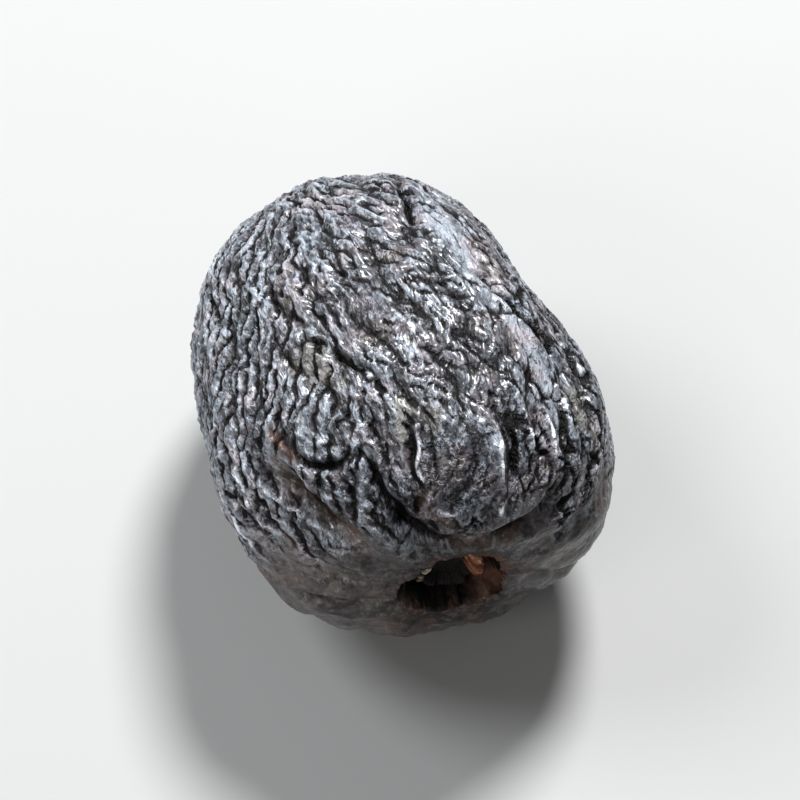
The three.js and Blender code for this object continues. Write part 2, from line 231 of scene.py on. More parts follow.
# Other uneven fields: how big their lumps are, and their stream of draws
LUMPS = dict(
    cap_edge=(7, 83),
    cap_rags=(2.4, 87),
    cap_skin=(1.3, 227),
    flat_side=(6, 97),
    bloom=(7, 101),
    fine_bloom=(2.4, 103),
    lip=(0.8, 229),
    collar=(1.5, 233),
)
UNEVEN_WAVES = 6
BOLD_MORE = 0.4

# Patches: how ragged they are, the size of their rags, and the shares of their reach over which they fade
PATCH_RAGGEDNESS, PATCH_RAGS = 0.45, 1.6
PATCH_EDGE = (0.3, 1.1)

# How far all lines wander together, in radians, and over what length
WANDER, WANDER_LENGTH = 0.5, 17

# Layers of ridges, coarse to fine. The first three are in the part's solids too, the third of them higher
# there. Each has its share of its height on the wrinkled skin, on the smooth cap and at the ends, how soft
# its forks are, and whether it follows the slant. Some have a share for another kind of skin, a stretch of
# their valleys, from 0 on the crown to 1 at the bottom, over which shade is painted black into the skin,
# and how dark that painted shade gets
FOLDS = dict(
    pitch=6.5, height=0.5, reach=4.2, run=6.5, stray=0.35, kernels=170, stream=11,
    on_skin=1, on_cap=0.5, at_ends=0.25, middle=0.62, fork=0.12, follows=0,
)
GATHERS = dict(
    pitch=3.0, height=0.35, reach=2.0, run=7.0, stray=0.15, kernels=500, stream=71,
    on_skin=0.15, on_cap=1, at_ends=0.25, middle=0.65, fork=0.12, follows=0,
)
RIDGES = dict(
    pitch=2.4, height=0.28, reach=1.6, run=3.0, stray=0.45, kernels=900, stream=23,
    on_skin=1, on_cap=0.12, at_ends=0.35, middle=0.7, fork=0.05, follows=0,
    on_band=0.2, black=(0.8, 1.0), valley_shade=0.85,
)
STREAKS = dict(
    pitch=1.25, height=0.07, reach=0.8, run=3.2, stray=0.15, kernels=2600, stream=211,
    on_skin=0, on_cap=1, at_ends=0.3, middle=0.5, fork=0.05, follows=0,
)
WRINKLES = dict(
    pitch=0.95, height=0.20, reach=0.54, run=1.45, stray=0.45, kernels=6400, stream=37,
    on_skin=1, on_cap=0.15, at_ends=0.35, middle=0.8, fork=0.03, follows=1,
    on_band=0.2, on_flat=0.55, on_bold=1.3, black=(0.6, 1.0), valley_shade=1.0,
)
CRINKLES = dict(
    pitch=0.44, height=0.07, reach=0.30, run=1.0, stray=0.5, kernels=14000, stream=53,
    on_skin=1, on_cap=0.9, at_ends=0.5, middle=0.6, fork=0.03, follows=1,
    on_knee=0.6, black=(0.5, 1.0), valley_shade=0.4,
)

# How far lines are shifted to and fro: the size of the bends, the shift and the stream of draws
CREASE_BENDS = (1.7, 0.14, 161)
WRINKLE_BENDS = (1.9, 0.14, 151)
WRINKLE_KINKS = (0.8, 0.07, 171)
PANEL_BENDS = (1.9, 0.25, 181)
PLATE_BENDS = (2.6, 0.35, 241)

# Panels of skin between the finest creases: their size over and along the fruit, how far their edges
# stand up, how deep the slits between them are on the flat side, and how deep the black slots in the
# wrinkles' valleys are. A rim is the stretch over which such a part fades, in shares of a panel from its
# edge inwards, and for a slot in shares of the way down into the valley
PANEL_SIZE = np.array([0.62, 1.45, 0.62])
PANEL_SLANT = 1.0
PANEL_EDGE, PANEL_SLIT, SLOT_DEPTH = 0.11, 0.06, 0.14
PANEL_EDGE_RIM, PANEL_SLIT_RIM, PALE_RIM = (0.0, 0.4), (0.0, 0.3), (0.02, 0.25)
SLOT_RIM = (0.5, 0.9)
CELL_NUMBERS = np.array([1, 57, 113])

# Larger plates on the flat side: their size, how deep the slits between them are, how far their edges
# stand up, and how far one plate may lie above another
PLATE_SIZE = np.array([1.15, 3.3, 1.15])
PLATE_SLIT, PLATE_LIP, PLATE_STEP = 0.18, 0.05, 0.10
PLATE_SLIT_RIM, PLATE_STEP_RIM = (0.03, 0.17), (0.05, 0.3)
PLATE_LIP_START, PLATE_LIP_END = (0.08, 0.22), (0.26, 0.42)

# How dark the shade painted into the skin is, at most, in slits, in slots, in broad troughs and on the pit's
# rim
SLIT_SHADE, SLOT_SHADE, TROUGH_SHADE, PIT_RIM_SHADE = 0.5, 0.9, 0.4, 0.4
TROUGH = (0.5, 0.95)

# What is left of the shade painted black into valleys, the finest valleys and troughs on other kinds of skin
FLAT_VALLEYS, CAP_VALLEYS, BAND_VALLEYS, BOLD_FINE_VALLEYS = 0.8, 0.25, 0.15, 0.75
BAND_TROUGHS, FLAT_TROUGHS = 0.2, 0.85

# The stretches of the creases' marks over which shade is painted black into a groove and a named ridge is
# painted as a highlight
GROOVE_EDGE, RIDGE_EDGE = (0.15, 0.9), (0.35, 0.85)

# How pale the bloom and the painted sheen and highlights are, at most: sheen in patches and on plates,
# painted highlights in the cap's streaks and on named ridges
PATCH_SHEEN, PLATE_SHEEN, STREAK_HIGHLIGHT, RIDGE_HIGHLIGHT = 0.5, 0.4, 0.7, 1.25
CROWN_WIDTH, STREAK_WIDTH = (0.0, 0.28), (0.0, 0.22)

# How bright the highlights painted on edges are, how much more on the bold side, and how pale the smooth
# band's bloom and painted sheen is at least
EDGE_HIGHLIGHT, BOLD_MORE_HIGHLIGHT, LEAST_BAND = 0.8, 0.25, 0.6

# The plates' draws over which they are painted pale as sheen, on the smooth band and beside it, and how far
# to the right that sets in
BAND_DRAWS, PLATE_DRAWS = (0.2, 0.6), (0.55, 0.8)
PALE_PLATES_RIGHT = (-2, 3)

# How thick the bloom with its painted sheen is, at least and at most, how much its fine lumps count, the
# stretch of the lumps over which it thickens, and what it is multiplied by on the cap, on the knee, where
# it stands for painted light on skin that faces away from the lights, in darker patches and off edges
THIN_BLOOM, THICK_BLOOM = 0.36, 0.64
FINE_BLOOM, BLOOM_EDGE = 0.7, (-0.8, 0.9)
CAP_BLOOM, KNEE_PAINTED_LIGHT, DARKER_PATCH_BLOOM, OFF_EDGE_BLOOM = 0.2, 1.9, 0.8, 0.6

# How brown the skin is, at most, round the cap's rim, in spots on it, in patches and in the smooth valley,
# and how brown and how uneven the slit's lip and the collar are, with what the collar's right side adds
RIM_RUST, SPOT_RUST, PATCH_RUST, VALLEY_RUST = 0.15, 0.2, 0.25, 0.06
LIP_RUST, COLLAR_RUST, RUST_UNEVENNESS = 0.75, 0.1, 0.3
COLLAR_RIGHT_RUST, COLLAR_RIGHT = 0.7, (0.8, 2.4)

# Steps between rings and between points of a ring, which lie closer on the upper side by the last share
RING_STEP = 0.158
POINT_STEP = 0.145
CROWDING = 0.4

# Samples along the outline from which the rings' places are read, and the fewest points of a ring
OUTLINE_SAMPLES = 20001
FEWEST_POINTS = 8

# Torn remains of the stalk: lobes (turn in degrees, half width, height) round the mouth of a cup, whose
# outline runs from its root, over its lip and down inside in shares of its radius, its height and the lobes
STUB_RADIUS, STUB_HEIGHT, STUB_GAP = 1.8, 1.5, 0.3
STUB_LOBES = ((6, 36, 1.2), (100, 22, 0.2), (140, 13, 1.15), (176, 13, 1.0), (212, 14, 0.5), (290, 30, 0.3))
STUB_OUTLINE = (
    (0.75, 0.00, 0.00),
    (1.00, 0.20, 0.00),
    (1.00, 0.65, 0.25),
    (1.12, 0.92, 0.85),
    (0.98, 1.00, 1.00),
    (0.82, 0.85, 0.85),
    (0.62, 0.50, 0.10),
    (0.35, 0.35, 0.00),
)
STUB_POINTS = 420
STUB_RINGS = 64

# Fibres of the stub: how many there are, in how many bunches and how closely bunched, how far they stand
# out, how unevenly, and how far they are frayed
STUB_FIBRES = 46
FIBRE_BUNCHES, BUNCHING = 5, 0.8
FIBRE_RISE, FIBRE_SPREAD, FIBRE_FRAY = 0.08, 0.30, 0.30

# Waves round the stub, each with its number and its share of the radius
STUB_WAVES = ((3, 0.05), (8, 0.04))

# Turns round the stub, in degrees, between which its orange tissue and its two cream tips fade, and the
# shares of the stub's height over which the cream sets in
TORN_START, TORN_END = (325, 345), (38, 62)
CREAM_START, CREAM_END = (118, 126), (184, 196)
CREAM_HEIGHTS = (1.15, 1.4)

# Colours of the skin, linear
# Painted shade: the black laid into valleys, slits, creases, small pits and the stalk pit
VALLEY_SHADE_BLACK = (0.0020, 0.0016, 0.0020, 1)
SKIN_BROWN = (0.0148, 0.0126, 0.0136, 1)
# Painted shade in the cap's hollows
CAP_HOLLOW_SHADE = (0.0035, 0.0026, 0.0024, 1)
CAP_BROWN = (0.018, 0.012, 0.010, 1)
CAP_GREY = (0.082, 0.069, 0.062, 1)
# Light cap specks, partly real and partly painted glints
CAP_SPECK_AND_GLINT = (0.200, 0.182, 0.170, 1)
# Bloom colours: a real waxy bloom, made paler to stand in for painted sheen
BLUE_BLOOM_AND_SHEEN = (0.099, 0.118, 0.146, 1)
MAUVE_BLOOM_AND_SHEEN = (0.141, 0.111, 0.131, 1)
OLIVE_BLOOM_AND_SHEEN = (0.134, 0.122, 0.083, 1)
# Pale bloom with painted sheen, and painted highlights
PALE_BLOOM_AND_HIGHLIGHT = (0.325, 0.358, 0.400, 1)
LILAC_BLOOM_AND_HIGHLIGHT = (0.365, 0.345, 0.385, 1)
# Painted highlight, white, on the named ridges and the bold side's edges
CROWN_HIGHLIGHT_WHITE = (0.60, 0.61, 0.64, 1)
RUST = (0.150, 0.068, 0.042, 1)
TAN = (0.215, 0.200, 0.165, 1)

# Colours of the stub and the floor, linear
# Painted shade: black for the fibres low in the pit
WOOD_SHADE_BLACK = (0.006, 0.0035, 0.0028, 1)
WOOD_BROWN = (0.011, 0.005, 0.0036, 1)
TORN_RED = (0.045, 0.014, 0.008, 1)
TORN_ORANGE = (0.26, 0.105, 0.055, 1)
TORN_PINK = (0.52, 0.33, 0.23, 1)
FIBRE_CREAM = (0.72, 0.60, 0.42, 1)
FLOOR_GREY = (0.265, 0.265, 0.261, 1)
FLOOR_PALE = (0.28, 0.28, 0.276, 1)

# Noises of the finishes: lumps to a metre, finer layers in them, and how much the finer ones count
SKIN_GRAIN = (4200, 3, 0.5)
SKIN_TINT = (420, 3, 0.6)
SKIN_CREASES = (2100, 2, 0.55)
SKIN_RIBS = (1250, 3, 0.6)
SKIN_PITS = (1500, 3, 0.6)
CAP_MOTTLE = (800, 5, 0.7)
CAP_SPECKS = (2300, 3, 0.6)
CAP_SHADE = (330, 3, 0.6)
CAP_SCRATCHES = (520, 2, 0.5)
WOOD_GRAIN = (3200, 4, 0.6)
WOOD_LUMPS = (1500, 3, 0.6)
FLOOR_CLOUD = (12, 2, 0.5)

# Stretches of a noise over which one colour gives way to the next
TO_MAUVE, TO_OLIVE, TO_LILAC = (0.42, 0.62), (0.56, 0.72), (0.50, 0.62)
TO_GREY, TO_SPECK, TO_SHADE, TO_SCRATCH = (0.40, 0.62), (0.54, 0.66), (0.35, 0.6), (0.56, 0.66)
TO_WOOD_BROWN, TO_ORANGE, TO_PINK, TO_CREAM = (0.2, 0.7), (0.25, 0.65), (0.56, 0.66), (0.2, 0.6)

# Stretches of the crest mark, from valleys painted black as shade to clean crowns, over which a colour or
# finish sets in
BROWN_CREST, FLESH_CREST, CLEAN_CREST = (0.2, 0.75), (0.1, 1.0), (0.46, 1.02)
RUST_CREST, TAN_CREST = (0.1, 0.7), (0.3, 0.9)
GLOSS_CREST, SATIN_CREST = (0.3, 1.0), (0.2, 0.8)

# How fully a colour covers what is below it
SPECK_COVER, PALE_COVER, RIB_COVER, PIT_COVER = 0.4, 0.8, 0.6, 0.8
RUST_COVER, TAN_COVER, PINK_COVER = 0.8, 0.45, 0.7

# Hair-fine creases, thin ribs and pits of the skin: how much their noise is drawn out lengthways, how far
# the ribs turn, in degrees, and the stretches of the noise over which their edges fade
CREASE_DRAWN, RIB_DRAWN, PIT_DRAWN = 0.45, 0.4, 0.55
RIB_TURN = 20
CREASE_FADE, RIB_FADE, PIT_FADE = (0.0, 0.28), (0.01, 0.09), (0.33, 0.42)

# How glossy the skin is, how much more the cap, and what pits and the pale bloom and painted highlights take
# off the gloss
SKIN_GLOSS, CAP_MORE_GLOSS, PIT_DULLNESS, PALE_DULLNESS = 0.75, 0.05, 0.8, 0.25

# How high the bumps of the finest relief are, in metres
SKIN_BUMP = 0.00005
WOOD_BUMP = 0.0002

# Half the floor's side, the soft lights and the sky, and the camera: metres, degrees, and millimetres
# for its lens
FLOOR_HALF = 1.5
LIGHTS = dict(
    window=dict(place=(0.14, 0.22, 0.38), size=0.12, watts=5.2, colour=(0.98, 0.99, 1.0)),
    overhead=dict(place=(-0.24, 0.14, 0.32), size=0.20, watts=1.6, colour=(0.94, 0.97, 1.0)),
    fill=dict(place=(-0.30, -0.24, 0.30), size=0.25, watts=0.8, colour=(1.0, 0.97, 0.94)),
)
SKY_COLOUR = (0.90, 0.94, 1.0, 1)
SKY_STRENGTH = 0.16
LOOK_AT = Vector((0, -0.0006, 0.0108))
CAMERA_AZIMUTH, CAMERA_ELEVATION = -13.5, 57
CAMERA_DISTANCE = 0.27
CAMERA_LENS = 200
CAMERA_NEAREST = 0.01


def smooth(x, low, high):
    t = np.clip((x - low) / (high - low), 0, 1)
    return t * t * (3 - 2 * t)


def most(*fields):
    """The largest of several fields at each point."""
    return np.maximum.reduce(fields)


def toward(share, value):
    """A factor: 1 away from a kind of skin, and the value given where the skin is all of that kind."""
    return 1 + (value - 1) * share


def rounded(share):
    """1 half way up a share, and 0 where it is 0 or 1."""
    return 4 * share * (1 - share)


def draw(i, stream):
    """A repeatable draw between 0 and 1 for item i of a stream."""
    x = np.sin(np.asarray(i) * 12.9898 + stream * 78.233) * 43758.5453
    return x - np.floor(x)


def unevenness(points, size, stream):
    """A soft uneven field between about -1 and 1, with lumps about that size across."""
    total = np.zeros(len(points))
    for i in range(UNEVEN_WAVES):
        turn = 2 * math.pi * draw(i, stream)
        lean = 2 * draw(i, stream + 1) - 1
        flat = math.sqrt(1 - lean * lean)
        heading = np.array([flat * math.cos(turn), flat * math.sin(turn), lean])
        total += np.sin(2 * math.pi * points @ heading / size + 2 * math.pi * draw(i, stream + 2))
    return total / (UNEVEN_WAVES / 2)


def patchy(points, name, more=0):
    """The uneven share of that name, from 0 to 1, which is larger where more is added."""
    size, stream, low, high = PATCHY[name]
    return smooth(unevenness(points, size, stream) + more, low, high)


def pit_depth(radius, around):
    ragged = 1 + sum(size * np.sin(count * around + turn) for count, size, turn in PIT_RAGGEDNESS)
    dimple = DIMPLE_DEPTH * np.exp(-2 * (radius / DIMPLE_RADIUS) ** 2)
    return dimple + PIT_DEPTH * (1 - smooth(radius * ragged, PIT_THROAT, PIT_MOUTH))


def tip_rise(radius):
    dimple = -TIP_DIMPLE_DEPTH * np.exp(-2 * (radius / TIP_DIMPLE_RADIUS) ** 2)
    return dimple + TIP_HEIGHT * (1 - smooth(radius, 0, TIP_RADIUS))


def body_points(polar, around):
    """The fruit without its relief. polar runs from 0 at the stalk to pi at the tip, around from +X."""
    cosine = np.cos(polar)
    power = 2 / np.where(cosine > 0, BLUNTNESS, TIP_BLUNTNESS)
    along = -np.sign(cosine) * np.abs(cosine) ** power
    out = np.abs(np.sin(polar)) ** power * (1 - TAPER * along)
    radius = out * (WIDTH + HEIGHT) / 4
    x = out * WIDTH * np.cos(around) / 2 - LEAN * np.maximum(along, 0)
    y = along * LENGTH / 2 + np.where(along < 0, pit_depth(radius, around), tip_rise(radius))
    z = out * HEIGHT * np.sin(around) / 2
    return np.stack([x, y, z], axis=1) + CENTRE


def unit(vectors):
    return vectors / np.linalg.norm(vectors, axis=1, keepdims=True)


def body_frame(polar, around):
    """The directions along and across the fruit and straight out of it, at places on it."""
    slip = 1e-3
    low = np.maximum(polar - slip, slip / 2)
    high = np.minimum(polar + slip, math.pi - slip / 2)
    along = unit(body_points(high, around) - body_points(low, around))
    middle = np.clip(polar, slip, math.pi - slip)
    across = unit(body_points(middle, around + slip) - body_points(middle, around - slip))
    return along, across, unit(np.cross(along, across))


def body_place(at):
    """The place on the body at polar and turn angles in degrees."""
    return body_points(*np.radians([[angle] for angle in at]))[0]


def knee_share(points):
    """1 in the middle of the knee, fading softly away from it."""
    knee = body_place(KNEE["at"])
    return np.exp(-((np.linalg.norm(points - knee, axis=1) / KNEE["reach"]) ** 4))


def slant_of_lines(places):
    """How far the finer ridges turn away from running straight to the tip, in radians."""
    return KNEE["turn"] * knee_share(places) - SLANT * smooth(places[:, 0], *SLANT_EDGE)


def wave_centres(layer):
    """Places spread evenly over the fruit, each with a short wave that runs mostly across it."""
    i = np.arange(layer["kernels"])
    polar = np.arccos(1 - 2 * (i + 0.5) / layer["kernels"])
    around = math.pi * (3 - math.sqrt(5)) * i
    place = body_points(polar, around)
    along, across, normal = body_frame(polar, around)
    bend = WANDER * unevenness(place, WANDER_LENGTH, layer["stream"] + 3)
    bend += layer["stray"] * (2 * draw(i, layer["stream"]) - 1)
    bend += layer["follows"] * slant_of_lines(place)
    wave = across * np.cos(bend)[:, None] + along * np.sin(bend)[:, None]
    return place, wave, np.cross(normal, wave), 2 * math.pi * draw(i, layer["stream"] + 1)


def valley(points, layer):
    """How far each point lies down the side of its ridge: 0 on the crown, 1 in the valley."""
    order = np.argsort(points[:, 1])
    lined_up = points[order]
    real = np.zeros(len(points))
    imaginary = np.zeros(len(points))
    total = np.zeros(len(points))
    reach, run = layer["reach"], layer["run"]
    far = 3 * run
    for place, wave, crest, shift in zip(*wave_centres(layer)):
        low, high = np.searchsorted(lined_up[:, 1], (place[1] - far, place[1] + far))
        gap = lined_up[low:high] - place
        squared = np.einsum("ij,ij->i", gap, gap)
        near = np.nonzero(squared < far * far)[0]
        a = gap[near] @ wave
        b = gap[near] @ crest
        weight = np.exp(-0.5 * ((squared[near] - b * b) / reach ** 2 + b * b / run ** 2))
        phase = 2 * math.pi / layer["pitch"] * a + shift
        real[low + near] += weight * np.cos(phase)
        imaginary[low + near] += weight * np.sin(phase)
        total[low + near] += weight
    cosine = real / np.sqrt(real ** 2 + imaginary ** 2 + (layer["fork"] * total) ** 2)
    side = np.empty(len(points))
    side[order] = np.arccos(cosine) / math.pi
    return side


def crown(points, layer):
    """1 on a ridge's crown, falling round to 0 in the sharp valley beside it."""
    return np.cos(math.pi / 2 * valley(points, layer))


def jagged(points, size, amount, stream):
    """The points shifted to and fro, so that ridges or creases read from them run in short bends."""
    shifts = [unevenness(points, size, stream + 3 * axis) for axis in range(3)]
    return points + amount * np.stack(shifts, axis=1)


def panels(points, size, stream):
    """Panels round scattered seeds: how far inside its own each point lies, and a draw for that panel."""
    place = points / size
    place[:, 0] += PANEL_SLANT * place[:, 1]
    corner = np.floor(place)
    nearest = np.full(len(points), np.inf)
    second = nearest.copy()
    chance = np.zeros(len(points))
    for step in np.ndindex(3, 3, 3):
        cell = corner + np.array(step) - 1
        number = cell @ CELL_NUMBERS
        seed = cell + np.stack([draw(number, stream + axis) for axis in range(3)], axis=1)
        distance = np.linalg.norm(place - seed, axis=1)
        chance = np.where(distance < nearest, draw(number, stream + 3), chance)
        second = np.minimum(second, np.maximum(nearest, distance))
        nearest = np.minimum(nearest, distance)
    return second - nearest, chance


def swelling_rise(points):
    rise = np.zeros(len(points))
    for swelling in SWELLINGS:
        polar, around = np.radians([[angle] for angle in swelling["at"]])
        place = body_points(polar, around)[0]
        along, across, normal = (direction[0] for direction in body_frame(polar, around))
        gap = points - place
        a = gap @ along / swelling["lengthways"]
        b = gap @ across / swelling["crossways"]
        c = gap @ normal / WIDTH * 2
        rise += swelling["height"] * np.exp(-a * a - b * b - c * c)
    return rise


def crease_path(path):
    """Points on the body along a crease, on a curve pulled towards its middle place."""
    first, middle, last = np.radians(path)
    t = np.linspace(0, 1, CREASE_STEPS + 1)[:, None]
    polar, around = ((1 - t) ** 2 * first + 2 * t * (1 - t) * middle + t ** 2 * last).T
    return body_points(polar, around)


def path_distance(points, places):
    """Each point's distance from a path on the body, and how far along the path it is, from 0 to 1."""
    path = crease_path(places)
    nearest = np.full(len(points), np.inf)
    where = np.zeros(len(points))
    for k in range(CREASE_STEPS):
        start, step = path[k], path[k + 1] - path[k]
        t = np.clip((points - start) @ step / (step @ step), 0, 1)
        distance = np.linalg.norm(points - start - t[:, None] * step, axis=1)
        closer = distance < nearest
        nearest = np.where(closer, distance, nearest)
        where = np.where(closer, (k + t) / CREASE_STEPS, where)
    return nearest, where


def path_share(points, trail):
    """1 on a trail over the body, fading softly to 0 beside it."""
    return np.exp(-((path_distance(points, trail["path"])[0] / trail["width"]) ** 2))


def crease_rise(points):
    """How far the creases move the skin, and how far inside a groove or on a ridge each point lies."""
    rise = np.zeros(len(points))
    inside = np.zeros(len(points))
    raised = np.zeros(len(points))
    for crease in CREASES:
        nearest, where = path_distance(points, crease["path"])
        fade = np.sqrt(np.sin(math.pi * np.clip(where, 0.02, 0.98)))
        groove = np.exp(-((nearest / crease["width"]) ** 2)) * fade
        beside = np.exp(-(((nearest - 2 * crease["width"]) / crease["width"]) ** 2)) * fade
        rise += crease["lip"] * beside - crease["depth"] * groove
        if crease["depth"] > 0:
            inside = np.maximum(inside, groove * crease["painted_shade"])
        else:
            raised = np.maximum(raised, groove)
    return rise, inside, raised


def patch_share(points, patches, stream):
    """1 in the middle of a patch, fading raggedly to 0 at its edge."""
    share = np.zeros(len(points))
    ragged = PATCH_RAGGEDNESS * unevenness(points, PATCH_RAGS, stream)
    for patch in patches:
        distance = np.linalg.norm(points - body_place(patch["at"]), axis=1) / patch["reach"]
        share = np.maximum(share, 1 - smooth(distance + ragged, *PATCH_EDGE))
    return share


def cap_share(points, edge, raggedness=0.0):
    """1 in the smooth cap at the stalk end, 0 on the wrinkled skin."""
    gap = points - CAP_MIDDLE
    gap[:, 0] /= CAP_BREADTH
    distance = np.linalg.norm(gap, axis=1) + CAP_WANDER * unevenness(points, *LUMPS["cap_edge"])
    distance += raggedness * unevenness(points, *LUMPS["cap_rags"])
    return 1 - smooth(distance, *edge)


def flat_share(points):
    """1 on the flat side and 0 on the rest of the skin, with a ragged edge."""
    ragged = FLAT_SIDE_RAGGEDNESS * unevenness(points, *LUMPS["flat_side"])
    share = smooth(FLAT_SIDE_SOFTNESS * (points[:, 0] - FLAT_SIDE_START) - ragged, *FLAT_SIDE_EDGE)
    return share * smooth(points[:, 2], *FLAT_SIDE_HEIGHTS)


def bold_share(points):
    """1 on the bold side: on the left and towards the tip, but not at it."""
    x, y = points[:, 0], points[:, 1]
    return most(smooth(-x, *BOLD_LEFT), smooth(y, *BOLD_ALONG)) * (1 - smooth(y, *BOLD_END))


def wrinkle_strength(points, knee):
    """How much of their depth the wrinkles have, which is uneven in the middle of the upper side."""
    x, y = points[:, 0], points[:, 1]
    uneven = FAINTEST_WRINKLES + (1 - FAINTEST_WRINKLES) * patchy(points, "wrinkles")
    outer = OUTER_WRINKLES * most(smooth(-x, *OUTER_LEFT), smooth(y, *OUTER_ALONG))
    return most(most(uneven, outer) * (1 - knee), KNEE_WRINKLES * knee)


def skin_shares(base):
    """Where each kind of skin lies, as shares from 0 to 1 at every point."""
    share = SimpleNamespace()
    share.knee = knee_share(base)
    share.flat = flat_share(base) * (1 - share.knee)
    share.bold = bold_share(base)
    share.strength = wrinkle_strength(base, share.knee)
    share.calm = toward(patch_share(base, CALM_PATCHES, stream=197), CALM_CREASES)
    share.band = path_share(base, SMOOTH_BAND)
    share.valley = path_share(base, SMOOTH_VALLEY)
    share.coarse_cap = cap_share(base, CAP_EDGE)
    share.cap = most(cap_share(base, FINE_CAP_EDGE, FINE_CAP_RAGGEDNESS), share.valley)
    share.cap_rim = rounded(share.cap)
    share.stalk_end = base[:, 1] < 0
    share.axis_gap = np.hypot(base[:, 0], base[:, 2] - CENTRE[2])
    beside_pit = smooth(share.axis_gap, *CLEAR_OF_PIT)
    share.clear = np.where(share.stalk_end, beside_pit, smooth(share.axis_gap, *CLEAR_OF_TIP))
    return share


def skin_lines(base, share):
    """The lines of relief at every point: how far down the side of its ridge it lies, and the creases."""
    bent = jagged(jagged(base, *WRINKLE_BENDS), *WRINKLE_KINKS)
    line = SimpleNamespace()
    line.ridge = valley(base, RIDGES)
    line.wrinkle = valley(bent, WRINKLES)
    line.crinkle = valley(bent, CRINKLES)
    line.streak = valley(base, STREAKS)
    line.creases, line.inside, line.raised = crease_rise(jagged(base, *CREASE_BENDS))
    off_lines = toward(share.band, BAND_CREASES) * toward(line.raised, RIDGE_CREASES)
    line.wrinkled = (1 - share.cap) * (1 - share.knee) * share.clear * share.calm * off_lines
    add_panels(base, share, line)
    add_plates(base, share, line)
    return line


def add_panels(base, share, line):
    """Panels with raised edges, slits between them on the flat side, and slots in the wrinkles' valleys."""
    line.panel = panels(jagged(base, *PANEL_BENDS), PANEL_SIZE, stream=191)[0]
    line.edge = (1 - smooth(line.panel, *PANEL_EDGE_RIM)) * (1 - share.flat) * line.wrinkled
    line.slit = (1 - smooth(line.panel, *PANEL_SLIT_RIM)) * patchy(base, "slit_shade") * share.flat * line.wrinkled
    line.slot = smooth(line.wrinkle, *SLOT_RIM) * patchy(base, "slots", BOLD_MORE * share.bold)
    line.slot *= toward(share.flat, FLAT_SLOTS) * line.wrinkled


def add_plates(base, share, line):
    """Plates of the flat side: slits round them, lips inside the slits, and faces that lie up or down."""
    gap, line.plate_chance = panels(jagged(base, *PLATE_BENDS), PLATE_SIZE, stream=251)
    off_lines = toward(share.band, BAND_PLATES) * toward(line.raised, RIDGE_CREASES)
    line.plated = share.flat * (1 - share.cap) * share.clear * off_lines
    broken = patchy(base, "plates") * line.plated
    line.plate_slit = (1 - smooth(gap, *PLATE_SLIT_RIM)) * broken
    line.plate_lip = smooth(gap, *PLATE_LIP_START) * (1 - smooth(gap, *PLATE_LIP_END)) * broken
    line.plate_face = smooth(gap, *PLATE_STEP_RIM) * (line.plate_chance - 0.5) * line.plated


def layer_rise(layer, field, cap, share):
    """How far a layer of ridges moves the skin. The field is 1 on its crowns and 0 in its valleys."""
    depth = layer["on_skin"] + (layer["on_cap"] - layer["on_skin"]) * cap
    depth *= layer["at_ends"] + (1 - layer["at_ends"]) * share.clear
    for kind in ("band", "flat", "bold", "knee"):
        depth *= toward(getattr(share, kind), layer.get("on_" + kind, 1))
    return layer["height"] * (field - layer["middle"]) * depth


def relief_rise(base, share, line):
    """How far the layers of ridges, the panels and the plates move the skin.

    A high power gives ridges broad tops and narrow valleys, and a power of 1 - field gives sharp crests.
    """
    rise = layer_rise(FOLDS, crown(base, FOLDS), share.coarse_cap, share)
    rise += layer_rise(GATHERS, 1 - smooth(valley(base, GATHERS), 0, 1), share.coarse_cap, share)
    rise += layer_rise(RIDGES, 1 - line.ridge ** (1.8 + 2.2 * share.flat), share.coarse_cap, share)
    sharp = (1 - line.wrinkle) ** 1.5
    broad = 1 - line.wrinkle ** 4
    wrinkles = layer_rise(WRINKLES, sharp + (broad - sharp) * share.flat, share.cap, share)
    rise += wrinkles * share.strength * share.calm
    rise += layer_rise(STREAKS, (1 - line.streak) ** 2, share.cap, share)
    rise += layer_rise(CRINKLES, 1 - line.crinkle ** 2, share.cap, share)
    rise += PANEL_EDGE * (line.edge - 0.5) - PANEL_SLIT * line.slit - SLOT_DEPTH * line.slot
    rise += PLATE_STEP * line.plate_face + PLATE_LIP * line.plate_lip - PLATE_SLIT * line.plate_slit
    return rise + CAP_LUMPINESS * unevenness(base, *LUMPS["cap_skin"]) * share.cap


def skin_points(base, normal, polar, share, line):
    """The body's points moved to the wrinkled skin, and pressed flat where the fruit rests."""
    above_rest = REST_RELIEF + (1 - REST_RELIEF) * smooth(base[:, 2], *ABOVE_REST)
    away_from_pole = np.minimum(1, np.sin(polar) * POLE_CLOSING)
    rise = relief_rise(base, share, line) * above_rest + swelling_rise(base) + line.creases * share.clear
    points = base + normal * (rise * away_from_pole)[:, None]
    points[:, 2] = np.maximum(points[:, 2], 0)
    return points


def valley_shade(layer, side):
    """How dark the shade painted into a layer's valleys is, at places on the sides of its ridges."""
    return layer["valley_shade"] * smooth(side, *layer["black"])


